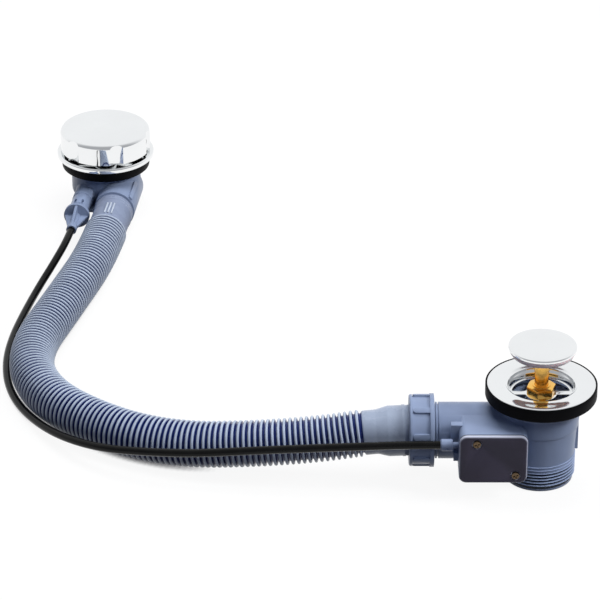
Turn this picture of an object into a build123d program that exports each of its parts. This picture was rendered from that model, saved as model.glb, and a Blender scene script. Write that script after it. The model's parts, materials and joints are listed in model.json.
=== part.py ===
# Cable-operated pop-up bath waste with its overflow, overflow hose and control cable, laid out on a
# table with the plug raised.  Origin: centre of the waste outlet's bottom end, +Z up out of the bath.
# The overflow branch points to -X, the lever box to -Y.  Millimetres.
import math
import os
from build123d import *

os.makedirs("parts", exist_ok=True)

# waste: outlet tail, barrel and clamped flange
outlet_thread_d = 47.8
outlet_thread_len = 14.0
outlet_runout_d = 46.8
outlet_len = 20.0
outlet_bore_d = 40.0
outlet_chamfer = 1.4
barrel_low_d = 47.0
barrel_mid_d = 49.0
barrel_top_d = 53.0
barrel_step_z = 39.5
barrel_rib_w = 3.0
barrel_bore_d = 43.0
waste_height = 70.0
flange_d = 72.0
flange_rim_t = 2.5
waste_gasket_d = 73.5
waste_gasket_t = 7.5
body_flange_d = 66.0
body_flange_t = 2.6
tail_d = 48.0
mouth_d = 47.4
window_outer_d = 38.6
window_inner_d = 21.0
spoke_w = 4.6
strainer_drop = 8.0
strainer_t = 3.0

# plug, stem and the hollow bolt that clamps the flange
stem_d = 9.2
bolt_af = 17.0
bolt_head_h = 6.0
bolt_shank_d = 13.8
bolt_reach = 13.0
plug_d = 45.0
plug_edge_h = 2.6
plug_seal_d = 43.8
plug_seal_h = 4.6
plug_rise = 26.4

# branch, union nut and hose cuffs
branch_z = 33.5
branch_d = 37.4
branch_bore_d = 30.0
branch_len = 80.0
branch_thread_d = 41.9
branch_thread_len = 10.0
branch_groove_depth = 1.3
branch_ring_w = 1.0
nut_d = 45.2
nut_len = 16.4
nut_rim_d = 48.6
nut_rim_len = 2.8
nut_lip_d = 47.4
nut_lip_len = 2.0
nut_rib_w = 4.0
nut_rib_h = 1.4
nut_ribs = 8
nut_rib_turn = 18.7
washer_t = 2.0
cuff_collar_d = 39.2
cuff_collar_t = 2.0
cuff_d = 33.5
cuff_len = 16.0
cuff_neck_d = 29.4

# corrugated hose
hose_d = 31.2
hose_root_d = 26.6
hose_pitch = 3.72
hose_wall = 1.0
hose_rest_z = 16.0

# lever box on the front of the branch
box_x = -32.25
box_w = 44.5
box_z = 32.5
box_h = 35.0
box_front_y = -37.0
box_corner = 5.0
box_wall = 2.5
box_back_y = -21.0
ear_reach = 5.0
ear_gap_low_z = 28.8
ear_gap_high_z = 34.2
cover_t = 2.5
cover_seal_t = 0.8
screw_offset_x = 12.8
screw_offset_z = 11.75
screw_head_d = 5.2
screw_recess_d = 6.8
screw_d = 3.0

# lever, lift finger and cable slider
lift_angle = 25.0
finger_len = 32.0
finger_tip_r = 3.0
finger_w = 6.0
shaft_d = 6.0
arm_t = 3.0
cable_y = -27.75
cable_z = 38.6
slider_len = 12.0
slider_h = 4.6
slider_pin_d = 3.0
wire_d = 1.8
cable_d = 5.5
cable_neck_d = 4.0
sleeve_d = 8.0
sleeve_len = 8.0

# overflow head, lying on its back
overflow_x = -305.0
overflow_y = 392.5
overflow_turn = -6.7
overflow_face_z = 47.0
faceplate_d = 72.7
faceplate_t = 3.4
overflow_gasket_t = 8.6
overflow_gasket_d = 68.0
overflow_gasket_low_d = 65.6
overflow_gasket_bore_d = 48.0
overflow_bowl_d = 52.0
overflow_bowl_low_z = 11.0
overflow_bowl_round = 6.0
overflow_wall = 3.0
overflow_flange_d = 57.0
overflow_flange_t = 2.9
outlet_offset = 12.5
spigot_d = 30.4
spigot_len = 40.5
spigot_bore_d = 22.0
spigot_rib_w = 3.2
spigot_rib_h = 1.4

# knob, spindle, pinion and rack
knob_d = 67.4
knob_side_h = 15.7
knob_gap = 2.0
knob_dome = 1.0
knob_wall = 2.2
knob_turn = 90.0
spindle_d = 9.0
spindle_foot_z = 7.0
gear_module = 1.0
gear_teeth = 12
gear_w = 6.0
gear_z = 20.0
rack_len = 19.0
cable_offset = 12.5

# cable gland on the overflow body
cable_boss_d = 15.0
cable_boss_len = 10.5
gland_neck_d = 14.4
gland_neck_len = 21.0
gland_disc_d = 19.0
gland_disc_t = 3.0
gland_fin_len = 17.0
gland_collar_d = 7.6
gland_collar_len = 6.0
gland_tongue_w = 3.6
sheath_grip = 14.0
wire_grip = 4.0

# clearances
run_gap = 0.06
seat_gap = 0.1
free_gap = 0.3


def turned(points):
    """Solid of revolution about Z from a closed (radius, height) outline."""
    return revolve(Plane.XZ * make_face(Polyline(*points, close=True)), Axis.Z)


def rod(d, z0, z1):
    """Round bar on the Z axis between two heights."""
    return Pos(0, 0, (z0 + z1) / 2) * Cylinder(d / 2, z1 - z0)


def slab(x0, x1, y0, y1, z0, z1):
    """Box between two corners."""
    return Pos((x0 + x1) / 2, (y0 + y1) / 2, (z0 + z1) / 2) * Box(x1 - x0, y1 - y0, z1 - z0)


def round_edges(shape, radius):
    """Circular edges of one radius."""
    return shape.edges().filter_by(GeomType.CIRCLE).filter_by(lambda e: abs(e.radius - radius) < 0.05)


def save(shape, name):
    shape.label = name
    export_step(shape, f"parts/{name}.step")


# levels of the waste stack, from the flange's top down
flange_under_z = waste_height - flange_rim_t
gasket_under_z = flange_under_z - waste_gasket_t
body_flange_under_z = gasket_under_z - body_flange_t
strainer_z = waste_height - strainer_drop
strainer_under_z = strainer_z - strainer_t
ledge_z = body_flange_under_z - 0.4
hex_top_z = strainer_z + bolt_head_h

# lever mechanism: the slider's half travel is half of the rack's travel for a full knob turn
gear_r = gear_module * gear_teeth / 2
travel = gear_r * math.radians(knob_turn)
arm_r = travel / 2 / math.tan(math.radians(lift_angle))
pivot_x = -finger_len
pivot_z = cable_z - arm_r
lift = 2 * finger_len * math.sin(math.radians(lift_angle))
stem_foot_z = pivot_z + lift / 2 + finger_tip_r + free_gap

# frames: the branch runs along -X, the lever shaft along +Y, the cable along X
branch_axis = Plane(origin=(0, 0, branch_z), x_dir=(0, 1, 0), z_dir=(-1, 0, 0))
shaft_axis = Plane(origin=(pivot_x, 0, pivot_z), x_dir=(1, 0, 0), z_dir=(0, 1, 0))
cable_axis = Plane(origin=(0, cable_y, cable_z), x_dir=(0, 1, 0), z_dir=(-1, 0, 0))
overflow_at = Location((overflow_x, overflow_y, 0), (0, 0, overflow_turn))
box_left = box_x - box_w / 2
box_right = box_x + box_w / 2
box_low = box_z - box_h / 2
box_high = box_z + box_h / 2
housing_front_y = box_front_y + cover_t + cover_seal_t
screw_places = [
    (box_x - screw_offset_x + 1.9, box_z + screw_offset_z),
    (box_x + screw_offset_x + 1.9, box_z - screw_offset_z),
]

# Waste body: outlet tail, barrel, top flange, branch, lever-box housing and clamp boss, one moulding.
# The barrel is turned, the branch and the box grow out of it, and the water ways are cut last.
r_thread = outlet_thread_d / 2
barrel = turned([
    (0, 0),
    (r_thread - outlet_chamfer, 0),
    (r_thread, outlet_chamfer),
    (r_thread, outlet_thread_len),
    (outlet_runout_d / 2, outlet_thread_len + 0.5),
    (outlet_runout_d / 2, outlet_len),
    (barrel_low_d / 2, outlet_len + 1.2),
    (barrel_mid_d / 2, barrel_step_z),
    (barrel_mid_d / 2 + 0.8, barrel_step_z + 0.8),
    (barrel_top_d / 2, body_flange_under_z - 2),
    (barrel_top_d / 2 + 2.5, body_flange_under_z),
    (body_flange_d / 2 - 0.5, body_flange_under_z),
    (body_flange_d / 2, body_flange_under_z + 0.5),
    (body_flange_d / 2, gasket_under_z),
    (0, gasket_under_z),
])
r_branch = branch_d / 2
r_groove = r_branch - branch_groove_depth
thread_start = branch_len - branch_thread_len
branch = branch_axis * turned([
    (0, 0),
    (r_branch, 0),
    (r_branch, thread_start - 3 * branch_ring_w),
    (r_groove, thread_start - 3 * branch_ring_w),
    (r_groove, thread_start - 2 * branch_ring_w),
    (r_branch, thread_start - 2 * branch_ring_w),
    (r_branch, thread_start - branch_ring_w),
    (r_groove, thread_start - branch_ring_w),
    (r_groove, thread_start - 0.4),
    (branch_thread_d / 2, thread_start),
    (branch_thread_d / 2, branch_len - 0.8),
    (branch_thread_d / 2 - 0.8, branch_len),
    (0, branch_len),
])
box_outline = RectangleRounded(box_w, box_h, box_corner)
box_plane = Plane(origin=(box_x, housing_front_y, box_z), x_dir=(1, 0, 0), z_dir=(0, -1, 0))
housing = extrude(box_plane * box_outline, -(-housing_front_y - 8.0))
pocket_outline = RectangleRounded(box_w - 2 * box_wall, box_h - 2 * box_wall, box_corner - box_wall)
pocket = extrude(box_plane * pocket_outline, -(box_back_y - housing_front_y))
ear_x = box_left - ear_reach
ear_tab_x = box_left - 0.6 * ear_reach
ear_tab_z = box_low + 8.0
ear_y0 = box_back_y - 1.0
ear_y1 = box_back_y + 4.0
ears = slab(ear_x, box_left + box_wall, ear_y0, ear_y1, ear_gap_high_z, box_high)
ears += slab(ear_tab_x, box_left + box_wall, ear_y0, ear_y1, ear_tab_z, ear_gap_low_z)
rib_reach = barrel_mid_d / 2 + 0.9
side_rib = slab(0, rib_reach, -barrel_rib_w / 2, barrel_rib_w / 2, outlet_len + 0.2, barrel_step_z + 1.0)
far_bearing = shaft_axis * rod(shaft_d + 6.0, 10.0, r_branch + 3.0)
waste_body = barrel + branch + housing + ears + side_rib + far_bearing
bore_top_z = branch_z - branch_bore_d / 2 - 0.5
waste_body -= turned([
    (0, -1),
    (outlet_bore_d / 2, -1),
    (outlet_bore_d / 2, bore_top_z),
    (barrel_bore_d / 2, bore_top_z + 2),
    (barrel_bore_d / 2, ledge_z),
    (tail_d / 2 + free_gap, ledge_z),
    (tail_d / 2 + free_gap, gasket_under_z + 1),
    (0, gasket_under_z + 1),
])
waste_body -= branch_axis * rod(branch_bore_d, 8, branch_len + 1)
waste_body -= pocket
core = slab(box_left + box_wall, -26.0, box_back_y + box_wall, -7.0, box_low - 1, branch_z - 4)
waste_body -= core - (branch_axis * rod(branch_d, 0, branch_len))
boss_low_z = ledge_z - 9.0
spider = rod(bolt_shank_d + 8.0, boss_low_z, ledge_z)
rib_len = barrel_bore_d + 1.0
for turn in (0, 90):
    spider += Rot(0, 0, turn) * slab(-rib_len / 2, rib_len / 2, -1.8, 1.8, boss_low_z + 2.0, ledge_z)
waste_body += spider
waste_body -= rod(bolt_shank_d + 2 * seat_gap, boss_low_z - 1, ledge_z + 1)
for x, z in screw_places:
    post = Plane(origin=(x, box_back_y + 0.5, z), z_dir=(0, -1, 0))
    waste_body += post * rod(5.6, 0, box_back_y + 0.5 - housing_front_y)
    waste_body -= post * rod(screw_d + 2 * run_gap, 2.0, 30.0)
shaft_far_y = r_branch + 1.0
seal_seat_y = box_back_y + 2.2
waste_body -= shaft_axis * rod(shaft_d + 2 * run_gap, box_back_y - 1, shaft_far_y)
waste_body -= shaft_axis * rod(shaft_d + 4.0, box_back_y - 1, seal_seat_y)
waste_body -= cable_axis * rod(cable_neck_d + 2 * seat_gap, -box_left - box_wall - 1, -box_left + 1)
save(waste_body, "waste_body")

# Lever-box seal and cover: a rounded lid with two counterbored screws and two guide rails inside.
screw_holes = [Plane(origin=(x, 0, z), z_dir=(0, -1, 0)) for x, z in screw_places]
seal_front_y = housing_front_y - cover_seal_t
cover_seal = extrude(box_plane * (box_outline - pocket_outline), cover_seal_t)
save(cover_seal, "box_cover_seal")
cover_plane = Plane(origin=(box_x, seal_front_y, box_z), x_dir=(1, 0, 0), z_dir=(0, -1, 0))
cover = extrude(cover_plane * box_outline, cover_t)
cover = fillet(cover.faces().sort_by(Axis.Y)[0].edges(), 1.4)
rail_back_y = box_back_y - arm_t - 1.2
slider_back_y = rail_back_y
rail_x0 = screw_places[0][0] + 3.6
rail_x1 = box_right - box_wall - 4.0
for side in (-1, 1):
    z0 = cable_z + side * (slider_h / 2 + seat_gap)
    z1 = z0 + side * 1.3
    cover += slab(rail_x0, rail_x1, seal_front_y - 0.5, rail_back_y, min(z0, z1), max(z0, z1))
head_seat_y = box_front_y + 1.2
for hole in screw_holes:
    cover -= hole * rod(screw_d + 0.6, -seal_front_y - 1, 60)
    cover -= hole * rod(screw_recess_d, -head_seat_y, 60)
save(cover, "box_cover")

# Cover screws: pan heads with a cross recess.
cross = Rectangle(3.6, 0.9) + Rectangle(0.9, 3.6)
cover_screws = []
for hole in screw_holes:
    head_front = -head_seat_y + 1.7
    screw = rod(screw_head_d, -head_seat_y, head_front) + rod(screw_d, -head_seat_y - 12.0, -head_seat_y)
    screw = fillet(screw.faces().sort_by(Axis.Z)[-1].edges(), 0.6)
    screw -= extrude(Pos(0, 0, head_front) * Rot(0, 0, 20) * cross, -1.1)
    cover_screws.append(hole * screw)
save(Compound(children=cover_screws), "cover_screws")

# Chrome flange with its strainer: four windows between cross spokes, a cone seat and a locating tail.
r_rim = flange_d / 2
r_mouth = mouth_d / 2
cap_seat_z = waste_height + plug_rise
cap_low_z = cap_seat_z - 0.9
r_plug = plug_d / 2
r_seal = plug_seal_d / 2
seal_taper = 1.5
shut_low_z = cap_low_z - lift
shut_seal_z = cap_seat_z - plug_seal_h - lift
seat_clear = 0.25
flange = turned([
    (bolt_shank_d / 2 + free_gap, strainer_under_z),
    (tail_d / 2 - 2.4, strainer_under_z),
    (tail_d / 2 - 2.4, ledge_z + 0.2),
    (tail_d / 2, ledge_z + 0.2),
    (tail_d / 2, flange_under_z),
    (r_rim, flange_under_z),
    (r_rim, waste_height - 1.3),
    (r_rim - 0.5, waste_height - 0.6),
    (r_rim - 1.6, waste_height - 0.2),
    (r_mouth + 2.2, waste_height),
    (r_mouth + 0.8, waste_height - 0.3),
    (r_mouth, waste_height - 0.9),
    (r_plug + free_gap, shut_low_z - 0.1),
    (r_seal + seat_clear, shut_low_z - 0.4),
    (r_seal + seat_clear, shut_low_z - 0.9),
    (r_seal + seat_clear - seal_taper, shut_seal_z),
    (r_seal + seat_clear - seal_taper, strainer_z),
    (bolt_shank_d / 2 + free_gap, strainer_z),
])
windows = Circle(window_outer_d / 2) - Circle(window_inner_d / 2)
windows -= Rectangle(flange_d, spoke_w) + Rectangle(spoke_w, flange_d)
windows = fillet(windows.vertices(), 1.0)
flange -= extrude(Pos(0, 0, strainer_under_z - 1) * windows, strainer_t + 2)
save(flange, "waste_flange")

# Thick black gasket under the flange.
gasket = turned([
    (tail_d / 2 + 1.0, gasket_under_z),
    (waste_gasket_d / 2, gasket_under_z),
    (waste_gasket_d / 2, flange_under_z),
    (tail_d / 2 + 1.0, flange_under_z),
])
gasket = fillet(round_edges(gasket, waste_gasket_d / 2), 1.5)
save(gasket, "waste_gasket")

# Hollow clamp bolt: hexagon head on the strainer's hub, shank in the body's boss, stem guide bore.
hexagon = RegularPolygon(bolt_af / 2, 6, major_radius=False)
bolt = extrude(Pos(0, 0, strainer_z) * Rot(0, 0, 12) * hexagon, bolt_head_h)
bolt &= turned([
    (0, strainer_z),
    (bolt_af, strainer_z),
    (bolt_af, hex_top_z - 3.6),
    (bolt_af / 2 - 0.4, hex_top_z),
    (0, hex_top_z),
])
bolt += rod(stem_d + 3.0, hex_top_z - 1, hex_top_z + 0.8)
bolt += rod(bolt_shank_d, strainer_z - bolt_reach, strainer_z)
bolt -= rod(stem_d + 2 * run_gap, strainer_z - bolt_reach - 1, hex_top_z + 2)
save(bolt, "clamp_bolt")

# Plug: chrome cap, pale seal and brass stem, raised.
cap = turned([
    (0, cap_seat_z),
    (r_plug - 1.9, cap_seat_z),
    (r_plug - 1.9, cap_low_z),
    (r_plug - 0.4, cap_low_z),
    (r_plug, cap_low_z + 0.5),
    (r_plug, cap_low_z + plug_edge_h - 1.0),
    (r_plug - 0.5, cap_low_z + plug_edge_h - 0.3),
    (r_plug - 1.5, cap_low_z + plug_edge_h),
    (r_plug * 0.5, cap_low_z + plug_edge_h + 0.75),
    (0, cap_low_z + plug_edge_h + 1.0),
])
tip_d = stem_d - 3.2
tip_h = plug_edge_h - 0.9
cap -= rod(tip_d + 2 * seat_gap, cap_seat_z - 1, cap_seat_z + tip_h + seat_gap)
save(cap, "plug_cap")
seal_bore = bolt_af / 2 / math.cos(math.pi / 6) + 2.0
plug_seal = turned([
    (seal_bore, cap_seat_z),
    (r_plug - 1.9 - seat_gap, cap_seat_z),
    (r_plug - 1.9 - seat_gap, cap_low_z - 0.1),
    (r_seal, cap_low_z - 0.1),
    (r_seal, cap_low_z - 0.9),
    (r_seal - seal_taper, cap_seat_z - plug_seal_h),
    (r_seal - 3.5, cap_seat_z - plug_seal_h),
    (r_seal - 4.0, cap_seat_z - 2.2),
    (seal_bore, cap_seat_z - 2.0),
])
save(plug_seal, "plug_seal")
foot_r = stem_d / 2 - 2.6
stem = turned([
    (0, stem_foot_z),
    (foot_r, stem_foot_z),
    (stem_d / 2, stem_foot_z + 3.2),
    (stem_d / 2, cap_seat_z),
    (tip_d / 2, cap_seat_z),
    (tip_d / 2, cap_seat_z + tip_h),
    (0, cap_seat_z + tip_h),
])
save(stem, "plug_stem")

# Lever shaft, its O-ring, drive fork, clip and the lift finger inside the branch.
shaft_front_y = box_back_y - arm_t - 2.4
flat_w = shaft_d - 1.4
flat_cut = rod(shaft_d + 2, shaft_front_y - 1, box_back_y - seat_gap) - extrude(
    Pos(0, 0, shaft_front_y - 1) * Rectangle(shaft_d + 4, flat_w), 30
)
finger_y = finger_w / 2 + 1.0
far_flat = rod(shaft_d + 2, -finger_y, finger_y) - extrude(
    Pos(0, 0, -finger_y) * Rectangle(shaft_d + 4, flat_w), 2 * finger_y
)
clip_y = box_back_y - arm_t - 1.0
clip_groove = rod(shaft_d + 2, clip_y - 0.45, clip_y + 0.45) - rod(shaft_d - 2.0, clip_y - 1, clip_y + 1)
raised = Rot(0, 0, lift_angle * -1)
shaft = rod(shaft_d, shaft_front_y, shaft_far_y - seat_gap) - flat_cut - far_flat - clip_groove
save(shaft_axis * (raised * shaft), "lever_shaft")
o_ring = Pos(0, 0, box_back_y + 1.1) * Torus(shaft_d / 2 + 1.0, 0.95)
save(shaft_axis * o_ring, "shaft_o_ring")
clip = rod(shaft_d + 3.0, clip_y - 0.4, clip_y + 0.4) - rod(shaft_d - 1.9, clip_y - 1, clip_y + 1)
clip -= Pos(0, 5, clip_y) * Box(shaft_d - 2.4, 10, 3)
save(shaft_axis * (raised * clip), "shaft_clip")

# The fork points up from the shaft (local -y), the finger along +X (local +x), both turned to the rest pose.
pin_r = slider_pin_d / 2
fork_reach = math.hypot(arm_r, travel / 2) + pin_r + 0.5
fork = SlotOverall(shaft_d + 6.4, shaft_d + 5.0)
fork += Pos(0, -fork_reach / 2) * Rectangle(2 * pin_r + 4.6, fork_reach)
fork -= Pos(0, -fork_reach) * Rectangle(2 * (pin_r + free_gap), 2 * (fork_reach - arm_r + pin_r + 1.0))
key_hole = Circle(shaft_d / 2 + run_gap) & Rectangle(shaft_d + 4, flat_w + 2 * run_gap)
arm = extrude(Pos(0, 0, box_back_y - arm_t - 0.4) * (fork - key_hole), arm_t)
save(shaft_axis * (raised * arm), "drive_fork")
blade = Circle(shaft_d / 2 + 2.4) + Pos(finger_len, 0) * Circle(finger_tip_r)
blade_half = finger_tip_r + 1.2
blade += make_face(Polyline(
    (0, -blade_half), (finger_len, -finger_tip_r), (finger_len, finger_tip_r), (0, blade_half), close=True
))
finger = extrude(Pos(0, 0, -finger_w / 2) * (blade - key_hole), finger_w)
save(shaft_axis * (raised * finger), "lift_finger")

# Cable slider with its cross pin, the wire it clamps and the clamp screw.
slider_x = pivot_x - travel / 2
slider = slab(
    slider_x - slider_len / 2,
    slider_x + slider_len / 2,
    seal_front_y + seat_gap,
    slider_back_y,
    cable_z - slider_h / 2,
    cable_z + slider_h / 2,
)
pin_plane = Plane(origin=(slider_x, slider_back_y, cable_z), z_dir=(0, 1, 0))
slider += pin_plane * rod(slider_pin_d, -0.5, arm_t + 0.6)
slider -= cable_axis * rod(wire_d + 2 * seat_gap, -slider_x - wire_grip, -slider_x + slider_len)
grub_x = slider_x - slider_len / 2 + 3.0
slider -= Pos(grub_x, cable_y, 0) * rod(2.4 + 2 * seat_gap, cable_z, cable_z + slider_h)
save(slider, "cable_slider")
grub = Pos(grub_x, cable_y, 0) * rod(2.4, cable_z + wire_d / 2 + 0.05, cable_z + slider_h / 2)
save(grub, "wire_clamp_screw")
sheath_stop = 62.0
wire_end = sheath_stop - 0.6
save(cable_axis * rod(wire_d, -slider_x - wire_grip + seat_gap, wire_end), "inner_wire_waste")

# Sleeve that ends the cable at the box: neck through the wall, body outside with a crimp dimple.
sleeve_x0 = -box_left + 4.0
sleeve_x1 = sleeve_x0 + sleeve_len
r_sleeve = sleeve_d / 2
sleeve = cable_axis * turned([
    (0, -box_left - box_wall - 1.4),
    (cable_neck_d / 2, -box_left - box_wall - 1.4),
    (cable_neck_d / 2, sleeve_x0),
    (r_sleeve - 0.4, sleeve_x0),
    (r_sleeve, sleeve_x0 + 0.5),
    (r_sleeve, sleeve_x1 - 0.8),
    (r_sleeve - 0.7, sleeve_x1),
    (0, sleeve_x1),
])
sleeve -= cable_axis * rod(wire_d + 2 * seat_gap, 0, sleeve_x1 + 1)
sleeve -= cable_axis * rod(cable_d, sheath_stop, sleeve_x1 + 1)
sleeve -= Pos((-sleeve_x0 - sleeve_x1) / 2, cable_y - r_sleeve - 0.2, cable_z - 1.0) * Sphere(1.1)
save(sleeve, "cable_end_sleeve")

# Union nut: recessed panels between grip ribs, a wider rim and a rounded lip.  Its sealing washer lies
# between the branch's end and the hose's collar.
nut_start = branch_len + washer_t + cuff_collar_t + 2.4 - nut_len
nut_end = nut_start + nut_len
lip = rod(nut_lip_d, nut_end - nut_lip_len, nut_end)
lip = fillet(lip.faces().sort_by(Axis.Z)[-1].edges(), 0.6 * nut_lip_len)
nut = rod(nut_d, nut_start, nut_end - nut_lip_len) + lip + rod(nut_rim_d, nut_start, nut_start + nut_rim_len)
rib_tip = nut_end - nut_lip_len - nut_rib_w / 2 - 0.4
rib_plane = Plane(origin=(nut_d / 2 - 1.0, 0, 0), x_dir=(0, 1, 0), z_dir=(1, 0, 0))
rib_plan = Pos(0, (nut_start + 1.0 + rib_tip) / 2) * Rectangle(nut_rib_w, rib_tip - nut_start - 1.0)
rib_plan += Pos(0, rib_tip) * Circle(nut_rib_w / 2)
rib = extrude(rib_plane * rib_plan, nut_rib_h + 1.0) & rod(nut_d + 2 * nut_rib_h, nut_start, nut_end)
for i in range(nut_ribs):
    nut += Rot(0, 0, nut_rib_turn + 360 / nut_ribs * i) * rib
collar_end = branch_len + washer_t + cuff_collar_t
nut -= rod(branch_thread_d + 2 * seat_gap, nut_start - 1, collar_end)
nut -= rod(cuff_d + 2 * free_gap, nut_start, nut_end + 1)
save(branch_axis * nut, "union_nut")
washer = rod(cuff_collar_d, branch_len, branch_len + washer_t)
washer -= rod(branch_bore_d - 2, branch_len - 1, collar_end)
save(branch_axis * washer, "union_washer")


def bend_radii(points):
    """Largest arc that each corner's two runs leave room for."""
    radii = []
    for a, b, c in zip(points, points[1:], points[2:]):
        into = Vector(*b) - Vector(*a)
        out = Vector(*c) - Vector(*b)
        half = math.radians(into.get_angle(out)) / 2
        radii.append(0.45 * min(into.length, out.length) / math.tan(half))
    return radii


def on_overflow(x, y, z):
    return tuple((overflow_at * Pos(x, y, z)).position)


# Overflow hose: one blow-moulded piece.  Rings of the skin and of the lining follow the route and are
# ruled into two corrugated shells, which the collar face and the cuff's end face close.
hose_start = branch_len + washer_t
cuff_tip_y = -(spigot_len + 1.0)
route = [
    (-hose_start, 0, branch_z),
    (-130, 0, branch_z),
    (-168, -3.5, 27.5),
    (-240, 3.5, 18.8),
    (-296, 32.8, hose_rest_z),
    (-333.5, 83.7, hose_rest_z),
    (-345, 145.5, hose_rest_z),
    on_overflow(outlet_offset, -107, hose_rest_z),
    on_overflow(outlet_offset, cuff_tip_y, hose_rest_z),
]
hose_radii = bend_radii(route)
hose_line = FilletPolyline(*route, radius=hose_radii)
hose_length = hose_line.length
print("hose radii", [round(r) for r in hose_radii], "length", round(hose_length, 1))


def ring(s, r):
    """Circle square to the hose's line at a length along it."""
    at = hose_line.position_at(s, position_mode=PositionMode.LENGTH)
    along = hose_line.tangent_at(s, position_mode=PositionMode.LENGTH)
    return Wire(Edge.make_circle(r, Plane(origin=at, x_dir=Vector(0, 0, 1).cross(along), z_dir=along)))


neck_len = 14.0
flare_len = 7.0
bellows_start = cuff_collar_t + cuff_len + flare_len + neck_len - 4.0
far_cuff_len = 35.0
bellows_end = hose_length - far_cuff_len
folds = round((bellows_end - bellows_start) / hose_pitch)
fold = (bellows_end - bellows_start) / folds
r_neck = cuff_neck_d / 2
r_cuff = cuff_d / 2
skin = [
    (0, cuff_collar_d / 2),
    (cuff_collar_t - 0.3, cuff_collar_d / 2),
    (cuff_collar_t, r_cuff),
    (cuff_collar_t + cuff_len, r_cuff),
    (cuff_collar_t + cuff_len + flare_len, r_neck),
    (bellows_start - 1.0, r_neck),
]
lining = [
    (0, r_neck - hose_wall - 1.0),
    (cuff_collar_t + cuff_len, r_neck - hose_wall - 1.0),
    (bellows_start - 1.0, r_neck - hose_wall - 1.0),
]
for i in range(folds):
    s = bellows_start + i * fold
    skin += [(s, hose_root_d / 2), (s + 0.34 * fold, hose_d / 2), (s + 0.72 * fold, hose_d / 2)]
    lining += [(s, hose_root_d / 2 - hose_wall), (s + 0.53 * fold, hose_d / 2 - hose_wall)]
skin.append((bellows_end, hose_root_d / 2))
lining.append((bellows_end, hose_root_d / 2 - hose_wall))
r_socket = 13.0
skin += [(bellows_end + 1.5, r_neck - 0.6), (hose_length - 9.5, r_neck - 0.6)]
for i in range(3):
    s = hose_length - 9.0 + i * 3.0
    skin += [(s, r_neck + 0.3), (s + 1.8, r_neck + 0.3), (s + 2.3, r_neck - 0.6)]
skin.append((hose_length, r_neck - 0.6))
lining += [(bellows_end + 1.5, r_socket - 1.2), (bellows_end + 8.0, r_socket - 1.2)]
lining += [(bellows_end + 8.3, r_socket), (hose_length, r_socket)]


def shell_faces(rings):
    """Side faces of the ruled loft through a list of rings."""
    loft_body = Solid.make_loft([ring(s, r) for s, r in rings], ruled=True)
    ends = [loft_body.faces().sort_by_distance(hose_line @ t)[0] for t in (0, 1)]
    return [f for f in loft_body.faces() if not any(f.is_same(e) for e in ends)]


end_faces = [
    Face(ring(skin[k][0], skin[k][1]), [ring(lining[k][0], lining[k][1])]) for k in (0, -1)
]
hose = Solid(Shell(shell_faces(skin) + shell_faces(lining) + end_faces))
print("hose folds", folds, "valid", hose.is_valid, "volume", round(hose.volume))
save(hose, "overflow_hose")

# Overflow body: a shallow bowl with a seat for the gasket, a low outlet spigot, the cable boss and inner
# bearings.  It is made about its own axis, outlet to local -y, and placed with the rest of the head.
faceplate_under_z = overflow_face_z - faceplate_t
body_top_z = faceplate_under_z - overflow_gasket_t
r_bowl = overflow_bowl_d / 2
bowl_floor_z = overflow_bowl_low_z + overflow_wall
bowl = rod(overflow_bowl_d, overflow_bowl_low_z, body_top_z)
bowl = fillet(bowl.faces().sort_by(Axis.Z)[0].edges(), overflow_bowl_round)
outlet_line = Plane(origin=(outlet_offset, 0, hose_rest_z), x_dir=(1, 0, 0), z_dir=(0, -1, 0))
cable_line = Plane(origin=(-cable_offset, 0, gear_z), x_dir=(1, 0, 0), z_dir=(0, -1, 0))
boss_end = r_bowl + cable_boss_len
overflow_body = bowl + rod(overflow_flange_d, body_top_z - overflow_flange_t, body_top_z)
overflow_body += outlet_line * rod(spigot_d, -overflow_wall, spigot_len)
r_spigot = spigot_d / 2
spigot_rib = slab(
    r_spigot - 1.0, r_spigot + spigot_rib_h, -spigot_rib_w / 2, spigot_rib_w / 2, r_bowl / 2, spigot_len - 1.0
)
overflow_body += outlet_line * (Rot(0, 0, 40) * spigot_rib)
overflow_body += outlet_line * rod(2 * r_socket - 2 * seat_gap, 0, spigot_len + 22.0)
overflow_body += cable_line * rod(cable_boss_d, 0, boss_end)
cavity = rod(overflow_bowl_d - 2 * overflow_wall, bowl_floor_z, body_top_z + 1)
cavity = fillet(cavity.faces().sort_by(Axis.Z)[0].edges(), overflow_bowl_round - overflow_wall)
overflow_body -= cavity
overflow_body -= outlet_line * rod(spigot_bore_d, 0, spigot_len + 23)
overflow_body += rod(spindle_d + 5.0, spindle_foot_z - 2.0, gear_z - gear_w / 2 - 1.0)
rack_low_z = gear_z - gear_w / 2 - 1.0
rack_high_z = gear_z + gear_w / 2 + 1.0
rack_back_x = -(cable_offset + 3.4)
shelf = slab(-r_bowl, -gear_r - 2.8, -14.0, 14.0, rack_low_z - 3.0, rack_low_z - seat_gap)
fence = slab(-r_bowl, rack_back_x - seat_gap, -14.0, 14.0, rack_low_z - 3.0, rack_high_z)
overflow_body += (shelf + fence) & rod(overflow_bowl_d - overflow_wall, 0, body_top_z)
plate_screw_r = 17.5
for side in (-1, 1):
    overflow_body += Pos(0, side * plate_screw_r, 0) * rod(8.0, bowl_floor_z - 1.0, body_top_z)
    overflow_body -= Pos(0, side * plate_screw_r, 0) * rod(4.0 + 2 * run_gap, body_top_z - 14, body_top_z + 1)
overflow_body -= rod(spindle_d - 2.0 + 2 * run_gap, spindle_foot_z, gear_z)
gland_plug_d = 9.0
overflow_body -= cable_line * rod(gland_plug_d + 2 * seat_gap, r_bowl - 2.0, boss_end + 1)
overflow_body -= cable_line * rod(wire_d + 1.2, 0, boss_end)
save(overflow_at * overflow_body, "overflow_body")

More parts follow.
